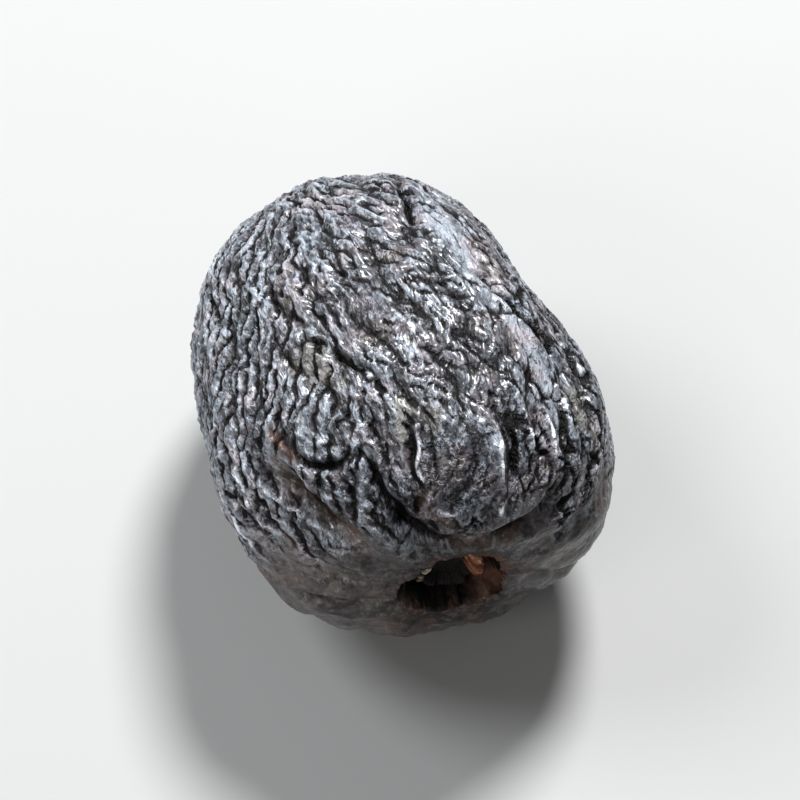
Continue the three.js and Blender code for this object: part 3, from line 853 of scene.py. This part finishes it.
def crest_and_shade_mark(share, line):
    """1 on the crowns, falling to 0 where shade is painted black into the skin: in valleys, slits, creases
    and the pit; 1 again on the named ridges, which are painted as highlights.
    """
    coarse = most(valley_shade(WRINKLES, line.wrinkle) * share.strength, valley_shade(RIDGES, line.ridge))
    fine = valley_shade(CRINKLES, line.crinkle) * toward(share.bold, BOLD_FINE_VALLEYS)
    painted_shade = most(coarse * toward(share.flat, FLAT_VALLEYS), fine) * toward(share.cap, CAP_VALLEYS)
    painted_shade *= toward(share.band, BAND_VALLEYS)
    trough_shade = TROUGH_SHADE * smooth(line.ridge, *TROUGH) * (1 - share.cap)
    trough_shade *= toward(share.band, BAND_TROUGHS) * toward(share.flat, FLAT_TROUGHS)
    slit_shade = most(SLIT_SHADE * line.slit, line.plate_slit, SLOT_SHADE * line.slot)
    groove_shade = smooth(line.inside, *GROOVE_EDGE)
    # Painted shade round the pit's rim and inside the pit
    rim = PIT_RIM_SHADE * (1 - smooth(share.axis_gap, *RIM_SHADE))
    pit_shade = most(1 - smooth(share.axis_gap, *PIT_SHADE), rim) * share.stalk_end
    return most(1 - most(painted_shade, trough_shade, slit_shade, groove_shade, pit_shade), highlight_ridges(line))


def highlight_ridges(line):
    """1 on the named ridges, which are painted pale and white as highlights, and 0 beside them."""
    return smooth(line.raised, *RIDGE_EDGE)


def highlight_edges(base, share, line):
    """Painted highlights: thin pale lines on the wrinkles' crowns and on the panels' edges, broken up
    unevenly.
    """
    edges = (1 - smooth(line.panel, *PALE_RIM)) * (1 - share.flat) * line.wrinkled
    crowns = (1 - smooth(line.wrinkle, *CROWN_WIDTH)) * (1 - share.flat)
    crowns *= most(line.wrinkled * share.strength, share.knee)
    broken = patchy(base, "edges", BOLD_MORE * share.bold)
    return most(edges, crowns) * broken * (EDGE_HIGHLIGHT + BOLD_MORE_HIGHLIGHT * share.bold) * (1 - line.slot)


def pale_bloom_and_highlight_mark(base, share, line):
    """How pale the bloom and its painted sheen and highlights are: bloom with painted sheen in patches, on
    the smooth band and on some plates, and painted highlights on edges, plate lips, the cap's streaks and
    named ridges. Over 1 is a white highlight.
    """
    patches = PATCH_SHEEN * patch_share(base, PALE_SHEEN_PATCHES, stream=139)
    band = share.band * (LEAST_BAND + (1 - LEAST_BAND) * smooth(line.plate_chance, *BAND_DRAWS))
    plates = PLATE_SHEEN * smooth(line.plate_chance, *PLATE_DRAWS) * line.plated
    plates *= smooth(base[:, 0], *PALE_PLATES_RIGHT)
    broad = most(patches, band, plates) * (1 - share.valley)
    streaks = STREAK_HIGHLIGHT * (1 - smooth(line.streak, *STREAK_WIDTH)) * share.cap_rim
    streaks *= patchy(base, "streaks")
    ridges = RIDGE_HIGHLIGHT * highlight_ridges(line)
    return most(broad, highlight_edges(base, share, line), streaks, line.plate_lip, ridges)


def bloom_and_sheen_mark(base, share, line):
    """How thick the grey bloom with its painted sheen is: thin on the cap and in darker patches, and thicker
    on the knee, where it is painted light.
    """
    scattered = unevenness(base, *LUMPS["bloom"]) + FINE_BLOOM * unevenness(base, *LUMPS["fine_bloom"])
    bloom = THIN_BLOOM + (THICK_BLOOM - THIN_BLOOM) * smooth(scattered, *BLOOM_EDGE)
    # On the knee the bloom is thickened as painted light
    bloom *= toward(share.cap, CAP_BLOOM) * (1 - share.valley) * toward(share.knee, KNEE_PAINTED_LIGHT)
    bloom *= toward(patch_share(base, DARKER_PATCHES, stream=199), DARKER_PATCH_BLOOM)
    return bloom * toward((1 - share.flat) * (1 - line.edge), OFF_EDGE_BLOOM)


def rust_mark(base, share):
    """How far the flesh shows brown: round the cap's rim, in spots, in the slit's lip and round the pit."""
    rim = RIM_RUST * share.cap_rim * patchy(base, "rim_rust")
    spots = SPOT_RUST * share.cap * patchy(base, "rust_spots")
    patches = PATCH_RUST * patch_share(base, RUST_PATCHES, stream=131)
    lip = path_share(base, RUST_LIP) * (LIP_RUST + RUST_UNEVENNESS * unevenness(base, *LUMPS["lip"]))
    collar = smooth(share.axis_gap, *COLLAR_INNER) * (1 - smooth(share.axis_gap, *COLLAR_OUTER))
    strength = COLLAR_RUST + RUST_UNEVENNESS * unevenness(base, *LUMPS["collar"])
    collar *= strength + COLLAR_RIGHT_RUST * smooth(base[:, 0], *COLLAR_RIGHT)
    return most(rim, spots, patches, VALLEY_RUST * share.valley, lip, collar * share.stalk_end)


def ring_turns(step):
    """Polar turns of the rings, evenly spaced along the outline."""
    polar = np.linspace(0, math.pi, OUTLINE_SAMPLES)
    outline = body_points(polar, np.zeros_like(polar))
    walked = np.concatenate([[0], np.cumsum(np.linalg.norm(np.diff(outline, axis=0), axis=1))])
    count = round(walked[-1] / step)
    return np.interp(np.linspace(0, walked[-1], count + 1), walked, polar)


def body_rings():
    """Rings of points over the body, with every second ring turned by half a step."""
    counts, polar, around = [], [], []
    turns = ring_turns(RING_STEP)
    for k, turn in enumerate(turns):
        count = 1
        if 0 < k < len(turns) - 1:
            side = body_points(np.array([turn, turn]), np.array([0, math.pi]))
            count = max(FEWEST_POINTS, round(math.pi * (side[0, 0] - side[1, 0]) / POINT_STEP))
        counts.append(count)
        polar.append(np.full(count, turn))
        even = 2 * math.pi * (np.arange(count) + 0.5 * (k % 2)) / count
        around.append(even + CROWDING * np.cos(even))
    return counts, np.concatenate(polar), np.concatenate(around)


def stitch(counts, turned=True):
    """Triangles between neighbouring rings. A ring of one point closes an end."""
    faces = []
    start = 0
    for k, (lower, upper) in enumerate(zip(counts, counts[1:])):
        lower_steps = lower if lower > 1 else 0
        upper_steps = upper if upper > 1 else 0
        lower_turn = 0.5 * (k % 2) * turned
        upper_turn = 0.5 * ((k + 1) % 2) * turned
        top = start + lower
        i = j = 0
        while i < lower_steps or j < upper_steps:
            a, b = start + i % lower, top + j % upper
            ahead = (i + 1 + lower_turn) / lower <= (j + 1 + upper_turn) / upper
            if j >= upper_steps or (i < lower_steps and ahead):
                faces.append((a, b, start + (i + 1) % lower))
                i += 1
            else:
                faces.append((a, b, top + (j + 1) % upper))
                j += 1
        start = top
    return faces


def make_piece(name, points, faces, marks, material):
    """A smooth mesh object in metres, with a number at each point for every mark."""
    mesh = bpy.data.meshes.new(name)
    mesh.from_pydata((points * MM).tolist(), [], faces)
    mesh.shade_smooth()
    for mark, values in marks.items():
        mesh.attributes.new(mark, "FLOAT", "POINT").data.foreach_set("value", values.astype(np.float32))
    mesh.materials.append(material)
    piece = bpy.data.objects.new(name, mesh)
    bpy.context.scene.collection.objects.link(piece)
    return piece


class Socket:
    """One node output, so that shader maths is written as Python expressions."""

    def __init__(self, maker, output):
        self.maker, self.output = maker, output

    def math(self, operation, *others):
        values = (self, *others)
        return self.maker.node("ShaderNodeMath", {"operation": operation}, dict(enumerate(values)))

    def __add__(self, other):
        return self.math("ADD", other)

    def __radd__(self, other):
        return self.math("ADD", other)

    def __sub__(self, other):
        return self.math("SUBTRACT", other)

    def __rsub__(self, other):
        return (self * -1).math("ADD", other)

    def __mul__(self, other):
        return self.math("MULTIPLY", other)

    def __rmul__(self, other):
        return self.math("MULTIPLY", other)

    def between(self, low, high):
        """0 below low, 1 above high and soft between them."""
        settings = {"interpolation_type": "SMOOTHSTEP", "clamp": True}
        sockets = {"Value": self, "From Min": low, "From Max": high}
        return self.maker.node("ShaderNodeMapRange", settings, sockets)


class Finish:
    """A material with one Principled shader, and the nodes that feed it."""

    def __init__(self, name):
        self.material = bpy.data.materials.new(name)
        self.material.use_nodes = True
        self.tree = self.material.node_tree
        self.shader = self.tree.nodes["Principled BSDF"]

    def set(self, node, name, value):
        if isinstance(value, Socket):
            self.tree.links.new(value.output, node.inputs[name])
        else:
            node.inputs[name].default_value = value

    def node(self, kind, settings, sockets, output=0):
        made = self.tree.nodes.new(kind)
        for name, value in settings.items():
            setattr(made, name, value)
        for name, value in sockets.items():
            self.set(made, name, value)
        return Socket(self, made.outputs[output])

    def mark(self, name):
        return self.node("ShaderNodeAttribute", {"attribute_name": name}, {}, "Fac")

    def mix(self, share, first, second):
        sockets = {0: share, 6: first, 7: second}
        return self.node("ShaderNodeMix", {"data_type": "RGBA"}, sockets, 2)

    def noise(self, place, scale, detail, roughness):
        sockets = {"Vector": place, "Scale": scale, "Detail": detail, "Roughness": roughness}
        return self.node("ShaderNodeTexNoise", {}, sockets, 0)

    def drawn_out(self, place, along, turn=0):
        """Places drawn together along Y after a turn in degrees, so that a noise read there is longish."""
        sockets = {"Vector": place, "Rotation": (0, 0, math.radians(turn)), "Scale": (1.0, along, 1.0)}
        return self.node("ShaderNodeMapping", {}, sockets)

    def place(self):
        return self.node("ShaderNodeTexCoord", {}, {}, "Object")

    def bump(self, height, distance):
        return self.node("ShaderNodeBump", {}, {"Height": height, "Distance": distance, "Strength": 1.0})

    def finish(self, **sockets):
        for name, value in sockets.items():
            self.set(self.shader, name.replace("_", " "), value)
        return self.material


def skin_creases(skin, place):
    """Hair-fine creases that run mostly lengthways: 1 between them, falling to 0 inside one."""
    field = skin.noise(skin.drawn_out(place, CREASE_DRAWN), *SKIN_CREASES)
    return (field * 2 - 1).math("ABSOLUTE").between(*CREASE_FADE)


def skin_ribs(skin, place):
    """Thin raised lines that wander mostly lengthways: 1 on a line, falling to 0 beside it."""
    field = skin.noise(skin.drawn_out(place, RIB_DRAWN, RIB_TURN), *SKIN_RIBS)
    return 1 - (field * 2 - 1).math("ABSOLUTE").between(*RIB_FADE)


def skin_pits(skin, place):
    """Small longish pits: 1 inside one, falling to 0 outside."""
    return 1 - skin.noise(skin.drawn_out(place, PIT_DRAWN), *SKIN_PITS).between(*PIT_FADE)


def cap_colour(skin, place, height):
    """The smooth skin round the stalk: brown, mottled grey, lightly specked, and painted black as shade in
    its hollows.
    """
    colour = skin.mix(skin.noise(place, *CAP_MOTTLE).between(*TO_GREY), CAP_BROWN, CAP_GREY)
    # Light specks, partly real specks and partly painted glints
    specks_and_glints = skin.noise(place, *CAP_SPECKS).between(*TO_SPECK)
    colour = skin.mix(specks_and_glints * SPECK_COVER, colour, CAP_SPECK_AND_GLINT)
    shade = skin.noise(place, *CAP_SHADE).between(*TO_SHADE)
    return skin.mix(height.between(*FLESH_CREST) * (0.5 + 0.5 * shade), CAP_HOLLOW_SHADE, colour)


def skin_colour(skin, place, height, grain, ribs, pits):
    """Black skin with shade painted black into its valleys and small pits, bloom with painted sheen on its
    crowns, painted highlights on thin ribs, edges and named ridges, and rust and tan patches.
    """
    cap = skin.mark("cap")
    bloom = skin.mark("bloom")
    pale = skin.mark("pale")
    clean = height.between(*CLEAN_CREST)
    tint = skin.noise(place, *SKIN_TINT)
    bloom_and_sheen_colour = skin.mix(tint.between(*TO_MAUVE), BLUE_BLOOM_AND_SHEEN, MAUVE_BLOOM_AND_SHEEN)
    bloom_and_sheen_colour = skin.mix(tint.between(*TO_OLIVE), bloom_and_sheen_colour, OLIVE_BLOOM_AND_SHEEN)
    pale_and_highlight_colour = skin.mix(tint.between(*TO_LILAC), PALE_BLOOM_AND_HIGHLIGHT, LILAC_BLOOM_AND_HIGHLIGHT)
    # Painted shade: black in the valleys, skin brown on the crowns
    colour = skin.mix(height.between(*BROWN_CREST), VALLEY_SHADE_BLACK, SKIN_BROWN)
    colour = skin.mix(cap, colour, cap_colour(skin, place, height))
    # Bloom with painted sheen on the clean crowns
    colour = skin.mix(bloom * clean * (0.75 + 0.5 * grain), colour, bloom_and_sheen_colour)
    # Pale bloom with painted sheen in patches and on the band, painted highlights on edges, lips, streaks and
    # ridges
    colour = skin.mix(pale * clean * PALE_COVER, colour, pale_and_highlight_colour)
    # Painted highlights on the thin ribs
    colour = skin.mix(ribs * clean * (cap + bloom).between(0.1, 0.4) * RIB_COVER, colour, pale_and_highlight_colour)
    # Painted shade: the small pits are laid black
    colour = skin.mix(pits * (1 - pale) * PIT_COVER, colour, VALLEY_SHADE_BLACK)
    # Painted highlight: white where the pale mark is over 1
    colour = skin.mix((pale * 4 - 4) * (0.5 + grain), colour, CROWN_HIGHLIGHT_WHITE)
    colour = skin.mix(skin.mark("rust") * height.between(*RUST_CREST) * RUST_COVER, colour, RUST)
    return skin.mix(skin.mark("tan") * height.between(*TAN_CREST) * TAN_COVER, colour, TAN)


def skin_material():
    """Dried skin, satin on its crowns and dull in its valleys and pits."""
    skin = Finish("dried_skin")
    place = skin.place()
    cap = skin.mark("cap")
    grain = skin.noise(place, *SKIN_GRAIN)
    creases = skin_creases(skin, place)
    # The fine creases lower the crest mark, so the painted shade darkens them too
    height = skin.mark("crest") + 0.25 * (creases - 0.6)
    scratched = skin.noise(place, *CAP_SCRATCHES).between(*TO_SCRATCH)
    ribs = skin_ribs(skin, place) * (1 - cap * (1 - 0.5 * scratched))
    pits = skin_pits(skin, place) * (1 - cap)
    gloss = (SKIN_GLOSS + CAP_MORE_GLOSS * cap) * height.between(*GLOSS_CREST)
    gloss = gloss * (1 - PIT_DULLNESS * pits) * (1 - PALE_DULLNESS * skin.mark("pale"))
    relief = grain * (0.25 + 0.1 * cap) + creases * (1 - 0.8 * cap) + ribs - 2 * pits
    return skin.finish(
        Base_Color=skin_colour(skin, place, height, grain, ribs, pits),
        Roughness=0.62 - 0.2 * height.between(*SATIN_CREST) + 0.1 * (grain - 0.5),
        Normal=skin.bump(relief, SKIN_BUMP),
        IOR=1.22,
        Coat_Weight=gloss,
        Coat_Roughness=0.25,
        Coat_IOR=1.5,
    )


def wood_material():
    """Dry stalk fibres, near-black brown and painted black as shade low down in the pit, with fresh orange
    tissue where they are torn and cream tips.
    """
    wood = Finish("torn_wood")
    grain = wood.noise(wood.place(), *WOOD_GRAIN)
    lumps = wood.noise(wood.place(), *WOOD_LUMPS)
    tone = 0.6 * wood.mark("tone") + 0.4 * lumps
    height = wood.mark("height") + 0.5 * (grain - 0.5)
    # Painted shade: fibres low in the pit are laid black, higher ones brown
    colour = wood.mix(height.between(0.8, 1.5) * tone.between(*TO_WOOD_BROWN), WOOD_SHADE_BLACK, WOOD_BROWN)
    torn = wood.mix(tone.between(*TO_ORANGE), TORN_RED, TORN_ORANGE)
    torn = wood.mix(lumps.between(*TO_PINK) * PINK_COVER, torn, TORN_PINK)
    colour = wood.mix(wood.mark("torn") * height.between(0.3, 0.9), colour, torn)
    colour = wood.mix(wood.mark("cream") * (0.4 + 0.6 * tone.between(*TO_CREAM)), colour, FIBRE_CREAM)
    relief = wood.bump(grain + lumps, WOOD_BUMP)
    return wood.finish(Base_Color=colour, Roughness=0.7, IOR=1.3, Normal=relief)


def floor_material():
    paint = Finish("pale_floor")
    cloud = paint.noise(paint.place(), *FLOOR_CLOUD)
    return paint.finish(Base_Color=paint.mix(cloud, FLOOR_GREY, FLOOR_PALE), Roughness=0.75)


def fruit_skin():
    counts, polar, around = body_rings()
    base = body_points(polar, around)
    normal = body_frame(polar, around)[2]
    share = skin_shares(base)
    line = skin_lines(base, share)
    marks = dict(
        # The crest mark carries the painted shade: low in valleys, slits, creases and the pit, high on crowns
        crest=crest_and_shade_mark(share, line),
        # The bloom mark: a real waxy bloom with painted sheen, and painted light on the knee
        bloom=bloom_and_sheen_mark(base, share, line),
        # The pale mark holds bloom with painted sheen and painted highlights
        pale=pale_bloom_and_highlight_mark(base, share, line),
        cap=share.cap,
        rust=rust_mark(base, share),
        tan=patch_share(base, TAN_PATCHES, stream=137),
    )
    points = skin_points(base, normal, polar, share, line)
    return make_piece("fruit_skin", points, stitch(counts), marks, skin_material())


def smooth_rows(rows, count):
    """Rows along a smooth curve through the given ones."""
    rows = np.array(rows)
    padded = np.concatenate([[2 * rows[0] - rows[1]], rows, [2 * rows[-1] - rows[-2]]])
    where = np.linspace(0, len(rows) - 1, count)
    k = np.minimum(where.astype(int), len(rows) - 2)
    t = (where - k)[:, None]
    before, start, end, after = (padded[k + i] for i in range(4))
    bend = 2 * before - 5 * start + 4 * end - after
    twist = 3 * (start - end) + after - before
    return start + t / 2 * (end - before + t * (bend + t * twist))


def lobe_height(around):
    """How high the torn lobes stand at turns round the cup."""
    height = np.zeros(len(around))
    for turn, half_width, lobe in STUB_LOBES:
        away = (np.degrees(around) - turn + 180) % 360 - 180
        height += lobe * np.exp(-((away / half_width) ** 2))
    return height


def stub_fibres(around):
    """The number of the fibre at each turn round the stub, and its roundness: 1 on it, 0 beside it."""
    spun = STUB_FIBRES / 2 * around + BUNCHING * np.sin(FIBRE_BUNCHES * around)
    return np.floor(spun / math.pi) % STUB_FIBRES, np.abs(np.sin(spun))


def stub_rings(around, floor):
    """Rings of points from the root over the torn lip and down inside, and each point's height."""
    fibre, roundness = stub_fibres(around)
    lobes = lobe_height(around) * (0.6 + 0.4 * draw(fibre, stream=263)) * (0.8 + 0.2 * roundness)
    frayed = FIBRE_FRAY * draw(fibre, stream=211) + 0.10 * roundness
    uneven = 1 + sum(size * np.sin(count * around) for count, size in STUB_WAVES)
    stands_out = FIBRE_RISE * (roundness - 0.6) * np.minimum(1, 0.2 + lobes)
    spreads = FIBRE_SPREAD * (draw(fibre, stream=269) - 0.5) * np.minimum(1, lobes)
    rings, heights = [], []
    for wide, high, torn in smooth_rows(STUB_OUTLINE, STUB_RINGS):
        height = high * STUB_HEIGHT + torn * (lobes - frayed)
        radius = STUB_RADIUS * wide * uneven + stands_out + high * spreads
        x, z = radius * np.cos(around), CENTRE[2] + radius * np.sin(around)
        rings.append(np.stack([x, floor - height, z], axis=1))
        heights.append(height)
    return rings, heights


def stub_marks(points, height, tone):
    """What colours the stub: how high its fibres are, which sets the shade painted low down, how dark they
    are, and where they are orange or cream.
    """
    turn = np.degrees(np.arctan2(points[:, 2] - CENTRE[2], points[:, 0])) % 360
    torn = most(1 - smooth(turn, *TORN_END), smooth(turn, *TORN_START))
    cream = smooth(turn, *CREAM_START) * (1 - smooth(turn, *CREAM_END)) * smooth(height, *CREAM_HEIGHTS)
    return dict(height=height, torn=torn, cream=cream, tone=tone)


def stalk_stub():
    around = 2 * math.pi * np.arange(STUB_POINTS) / STUB_POINTS
    floor = body_points(np.zeros(1), np.zeros(1))[0, 1] - STUB_GAP
    rings, heights = stub_rings(around, floor)
    root = np.array([[0, floor, CENTRE[2]]])
    hollow = np.array([[0, rings[-1][:, 1].mean(), CENTRE[2]]])
    points = np.concatenate([hollow, *rings[::-1], root])
    counts = [1] + [STUB_POINTS] * STUB_RINGS + [1]
    height = np.concatenate([[0], *heights[::-1], [0]]) / STUB_HEIGHT
    tones = draw(stub_fibres(around)[0], stream=271)
    tone = np.concatenate([[0], np.tile(tones, STUB_RINGS), [0]])
    marks = stub_marks(points, height, tone)
    return make_piece("torn_stalk", points, stitch(counts, turned=False), marks, wood_material())


def pale_floor():
    corners = [(x * FLOOR_HALF, y * FLOOR_HALF, 0) for x, y in ((-1, -1), (1, -1), (1, 1), (-1, 1))]
    mesh = bpy.data.meshes.new("floor")
    mesh.from_pydata(corners, [], [(0, 1, 2, 3)])
    mesh.materials.append(floor_material())
    floor = bpy.data.objects.new("floor", mesh)
    bpy.context.scene.collection.objects.link(floor)
    return floor


def aim(thing, place):
    """Puts a light or the camera at a place, turned to the fruit."""
    thing.location = place
    thing.rotation_mode = "QUATERNION"
    thing.rotation_quaternion = (LOOK_AT - Vector(place)).to_track_quat("-Z", "Y")
    bpy.context.scene.collection.objects.link(thing)


def soft_light(name, place, size, watts, colour):
    light = bpy.data.lights.new(name, "AREA")
    light.shape = "DISK"
    light.size = size
    light.energy = watts
    light.color = colour
    aim(bpy.data.objects.new(name, light), place)


def studio():
    world = bpy.data.worlds.new("studio")
    world.use_nodes = True
    sky = world.node_tree.nodes["Background"]
    sky.inputs["Color"].default_value = SKY_COLOUR
    sky.inputs["Strength"].default_value = SKY_STRENGTH
    bpy.context.scene.world = world
    for name, light in LIGHTS.items():
        soft_light(name, **light)


def camera():
    lens = bpy.data.cameras.new("camera")
    lens.lens = CAMERA_LENS
    lens.clip_start = CAMERA_NEAREST
    azimuth, elevation = math.radians(CAMERA_AZIMUTH), math.radians(CAMERA_ELEVATION)
    across = math.cos(elevation)
    back = Vector((math.sin(azimuth) * across, -math.cos(azimuth) * across, math.sin(elevation)))
    viewer = bpy.data.objects.new("camera", lens)
    aim(viewer, LOOK_AT + back * CAMERA_DISTANCE)
    bpy.context.scene.camera = viewer


fruit = fruit_skin()
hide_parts("fruit")
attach(fruit, "root")

stub = stalk_stub()
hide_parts("stalk_stub")
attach(stub, "root")

pale_floor()
studio()
camera()
bpy.context.scene.view_settings.view_transform = "Standard"
